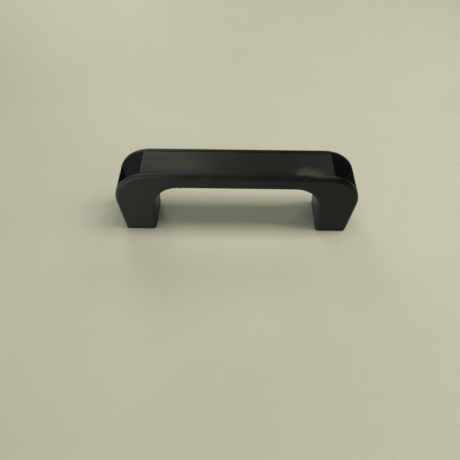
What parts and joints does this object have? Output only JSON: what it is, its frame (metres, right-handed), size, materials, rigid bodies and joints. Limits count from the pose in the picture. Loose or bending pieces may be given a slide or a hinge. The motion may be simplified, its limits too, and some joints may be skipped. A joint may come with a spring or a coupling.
{
  "type": "door pull handle",
  "caption": "Fixed bridge-shaped pull handle for a vehicle door, moulded in black plastic, with open screw wells at both ends of its top strip.",
  "frame": {"origin": "on the mounting plane under the feet, midway between the two legs and between front and back", "axes": "+X along the handle to its right end, +Y to the back, +Z away from the door up through the feet to the arm"},
  "size_m": [0.18, 0.0318, 0.0583],
  "materials": {
    "body_plastic": "satin black moulded nylon",
    "strip_plastic": "satin black moulded nylon, slightly polished by hands",
    "black_steel": "black e-coated steel strip",
    "zinc_steel": "bright zinc plate",
    "spring_steel": "oiled spring steel",
    "screw_steel": "zinc-plated hardened steel"
  },
  "bodies": {
    "handle": {"handle_body": "body_plastic", "cover_strip": "strip_plastic", "core_strap": "black_steel", "sleeve_left": "zinc_steel", "sleeve_right": "zinc_steel"},
    "washers_left": {"flat_washer_left": "zinc_steel", "lock_washer_left": "spring_steel"},
    "screw_left": {"fixing_screw_left": "screw_steel"},
    "washers_right": {"flat_washer_right": "zinc_steel", "lock_washer_right": "spring_steel"},
    "screw_right": {"fixing_screw_right": "screw_steel"}
  },
  "joints": [
    {"name": "screw_left_slide", "type": "slide", "parent": "handle", "child": "washers_left", "axis": [0, 0, -1], "range_m": [0, 0.0129]},
    {"name": "screw_left_turn", "type": "hinge", "parent": "washers_left", "child": "screw_left", "pos_m": [-0.075, 0, 0.0303], "axis": [0, 0, -1], "continuous": true},
    {"name": "screw_right_slide", "type": "slide", "parent": "handle", "child": "washers_right", "axis": [0, 0, -1], "range_m": [0, 0.0129]},
    {"name": "screw_right_turn", "type": "hinge", "parent": "washers_right", "child": "screw_right", "pos_m": [0.075, 0, 0.0303], "axis": [0, 0, -1], "continuous": true}
  ]
}
